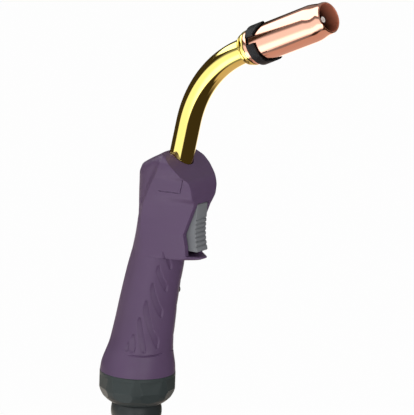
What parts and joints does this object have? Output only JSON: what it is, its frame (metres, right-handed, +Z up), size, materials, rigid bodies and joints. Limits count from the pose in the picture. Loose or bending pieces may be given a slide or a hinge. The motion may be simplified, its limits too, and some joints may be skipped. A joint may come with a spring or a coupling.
{
  "type": "mig welding torch",
  "caption": "Pistol-style MIG welding torch with a slim two-shell handle, trigger with finger guard, curved brass neck, slotted insulator ring, copper gas nozzle and ball-jointed cable support.",
  "frame": {"origin": "on the rear nut's axis, in the plane where the handle shells end and the rear nut begins", "axes": "+Z up the rear nut's axis towards the neck, +X to the trigger side, +Y across the shells, which meet in the plane Y = 0"},
  "size_m": [0.1687, 0.0494, 0.3122],
  "materials": {
    "handle_plastic": "satin, muted purple",
    "trigger_plastic": "satin, grey",
    "nut_plastic": "satin, dark grey-green",
    "support_plastic": "satin, near black",
    "neck_brass": "polished",
    "copper": "polished copper",
    "machined_brass": "machined",
    "insulator_black": "moulded",
    "insulation_white": "moulded, heat resistant",
    "steel": "plated",
    "dark_steel": "oxide black",
    "switch_black": "moulded",
    "plunger_red": "moulded"
  },
  "bodies": {
    "handle": {"contact_tip": "copper", "tip_holder": "machined_brass", "gas_diffuser": "insulation_white", "nozzle_insulator": "insulator_black", "nozzle_spring": "steel", "seat_ring": "copper", "neck_collar": "neck_brass", "swan_neck": "neck_brass", "neck_sleeve": "insulation_white", "neck_conductor": "copper", "wire_liner": "steel", "neck_socket": "machined_brass", "neck_bush": "insulator_black", "socket_screw": "dark_steel", "handle_left": "handle_plastic", "handle_right": "handle_plastic", "shell_screw_top": "dark_steel", "shell_screw_mid": "dark_steel", "shell_screw_rear": "dark_steel", "trigger_pin": "steel", "switch_body": "switch_black", "terminal_low": "machined_brass", "terminal_high": "machined_brass", "rear_nut": "nut_plastic"},
    "nozzle": {"gas_nozzle": "copper"},
    "trigger": {"trigger": "trigger_plastic", "trigger_spring": "steel"},
    "plunger": {"switch_plunger": "plunger_red"},
    "seat": {"swivel_seat": "support_plastic"},
    "support": {"cable_support": "support_plastic"}
  },
  "joints": [
    {"name": "trigger_hinge", "type": "hinge", "parent": "handle", "child": "trigger", "pos_m": [0.0385, 0, 0.1155], "axis": [0, 1, 0], "range_deg": [0, 5], "stiffness_Nm_per_rad": 0.3, "springref_deg": -5.73},
    {"name": "plunger_slide", "type": "slide", "parent": "handle", "child": "plunger", "axis": [-1, 0, 0], "range_m": [0, 0.0014]},
    {"name": "cable_swivel", "type": "hinge", "parent": "handle", "child": "seat", "pos_m": [0, 0, -0.012], "axis": [0, 0, 1], "continuous": true},
    {"name": "cable_tilt", "type": "hinge", "parent": "seat", "child": "support", "pos_m": [0, 0, -0.027], "axis": [0, 1, 0], "range_deg": [-12, 12]},
    {"name": "nozzle_slide", "type": "slide", "parent": "handle", "child": "nozzle", "axis": [0.898, 0, 0.4399], "range_m": [0, 0.04]}
  ],
  "couplings": [
    {"joint": "plunger_slide", "follows": "trigger_hinge", "m_per_rad": 0.0155}
  ]
}
